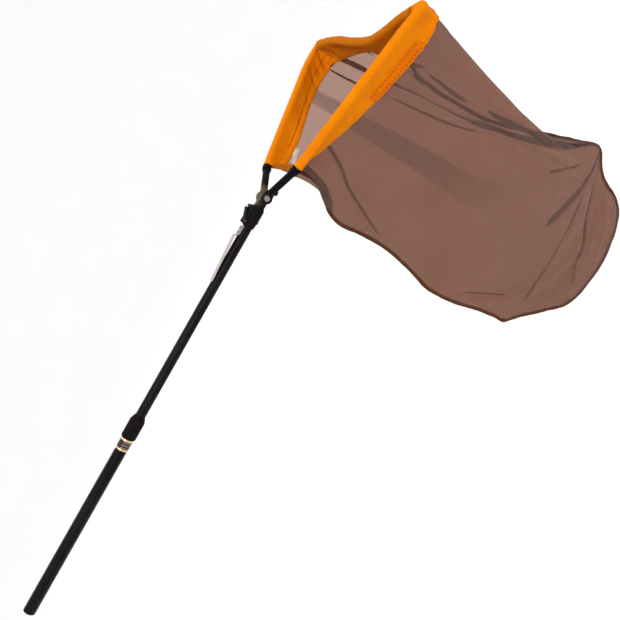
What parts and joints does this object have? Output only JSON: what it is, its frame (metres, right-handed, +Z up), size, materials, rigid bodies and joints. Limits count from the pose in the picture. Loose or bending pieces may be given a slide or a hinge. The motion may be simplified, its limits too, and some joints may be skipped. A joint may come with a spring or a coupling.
{
  "type": "leaf skimmer net",
  "caption": "Hand-held scoop net with a telescopic twist-lock pole, a hinged fork head with thumb release, an orange fabric rim and a deep see-through brown mesh bag.",
  "frame": {"origin": "centre of the butt cap's end face, on the pole's axis", "axes": "+X along the pole from butt to net, +Y across the mouth, +Z up out of the open mouth; the bag hangs toward -Z"},
  "size_m": [1.3487, 0.3708, 0.8523],
  "materials": {
    "black_anodised": "satin black anodised tube",
    "black_plastic": "moulded black plastic",
    "gold_trim": "bright gold trim",
    "print_black": "thin glossy sleeve",
    "clip_steel": "bright sprung steel",
    "bright_steel": "polished pin and rivets",
    "white_nylon": "natural nylon",
    "rod_alloy": "mill finish rod",
    "cord_grey": "braided cord",
    "orange_cloth": "orange woven nylon",
    "brown_mesh": "fine brown net",
    "binding_brown": "dark brown tape",
    "tag_white": "pale woven tag"
  },
  "bodies": {
    "lower_pole": {"lower_tube": "black_anodised", "butt_cap": "black_plastic", "gold_ring_rear": "gold_trim", "gold_ring_front": "gold_trim", "printed_band": "print_black", "collet_fitting": "black_plastic"},
    "lock_collar": {"lock_collar": "black_plastic"},
    "slider": {"guide_bush": "white_nylon"},
    "upper_pole": {"upper_tube": "black_anodised", "stop_ring": "white_nylon", "tube_plug": "black_plastic", "belt_clip": "clip_steel", "clip_rivet_rear": "bright_steel", "clip_rivet_front": "bright_steel", "hub": "black_plastic", "hub_screw": "bright_steel", "lever_pin": "bright_steel", "lever_spring": "bright_steel"},
    "release_lever": {"release_lever": "black_plastic"},
    "head": {"fork_block": "black_plastic", "hinge_pin": "bright_steel", "hinge_washer_near": "bright_steel", "hinge_washer_far": "bright_steel", "near_arm": "rod_alloy", "far_arm": "rod_alloy", "near_tip": "black_plastic", "far_tip": "black_plastic", "front_cord": "cord_grey", "near_sleeve": "orange_cloth", "far_sleeve": "orange_cloth", "front_sleeve": "orange_cloth", "near_heel_band": "orange_cloth", "far_heel_band": "orange_cloth", "near_panel": "brown_mesh", "far_panel": "brown_mesh", "seam_binding": "binding_brown", "care_tag": "tag_white"}
  },
  "joints": [
    {"name": "collar_twist", "type": "hinge", "parent": "lower_pole", "child": "lock_collar", "pos_m": [0.37, 0, 0], "axis": [1, 0, 0], "range_deg": [0, 90]},
    {"name": "pole_slide", "type": "slide", "parent": "lower_pole", "child": "slider", "axis": [1, 0, 0], "range_m": [-0.26, 0]},
    {"name": "pole_swivel", "type": "hinge", "parent": "slider", "child": "upper_pole", "pos_m": [0.35, 0, 0], "axis": [1, 0, 0], "continuous": true},
    {"name": "lever_press", "type": "hinge", "parent": "upper_pole", "child": "release_lever", "pos_m": [0.782, 0, 0.0126], "axis": [0, 1, 0], "range_deg": [0, 5], "stiffness_Nm_per_rad": 0.3, "springref_deg": -8.59, "deforming": ["lever_spring"]},
    {"name": "head_fold", "type": "hinge", "parent": "upper_pole", "child": "head", "pos_m": [0.835, 0, 0], "axis": [0, -1, 0], "range_deg": [0, 165]}
  ]
}
